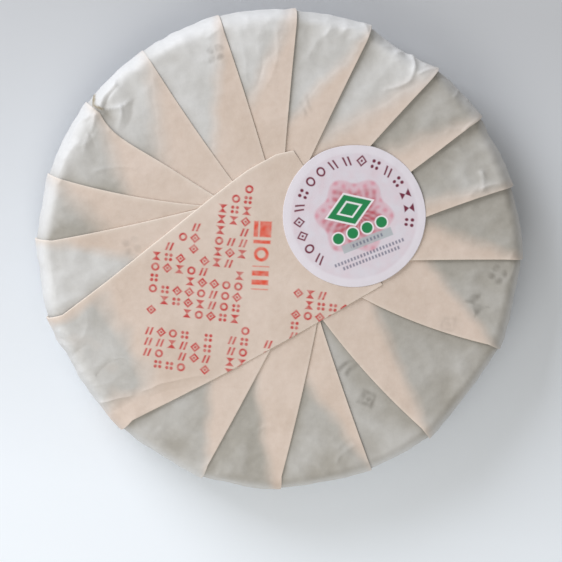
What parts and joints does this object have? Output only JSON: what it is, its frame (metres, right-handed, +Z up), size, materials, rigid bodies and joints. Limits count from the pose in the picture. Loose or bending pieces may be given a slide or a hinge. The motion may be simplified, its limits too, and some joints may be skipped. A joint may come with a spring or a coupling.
{
  "type": "pu erh tea cake",
  "caption": "Round pressed tea cake in thin paper, pleated all round and folded over on its flat back under a broad flap and a round label. It lies on its domed front.",
  "frame": {"origin": "middle of the bounding box at its foot: the point of the table under the middle of the cake", "axes": "+Z up out of the pleated back, +Y from the middle towards the narrow side panels at the top of the shown face, +X towards the label's side"},
  "size_m": [0.2222, 0.2197, 0.0296],
  "materials": {
    "wrapping_paper": "thin off-white cotton paper, tan where it lies in several layers and cool grey where the dark tea shows through one layer",
    "label_paper": "pale lilac coated label paper with a fine printed pattern"
  },
  "bodies": {
    "root": {"wrapped_cake": "wrapping_paper", "round_label": "label_paper"}
  },
  "joints": []
}
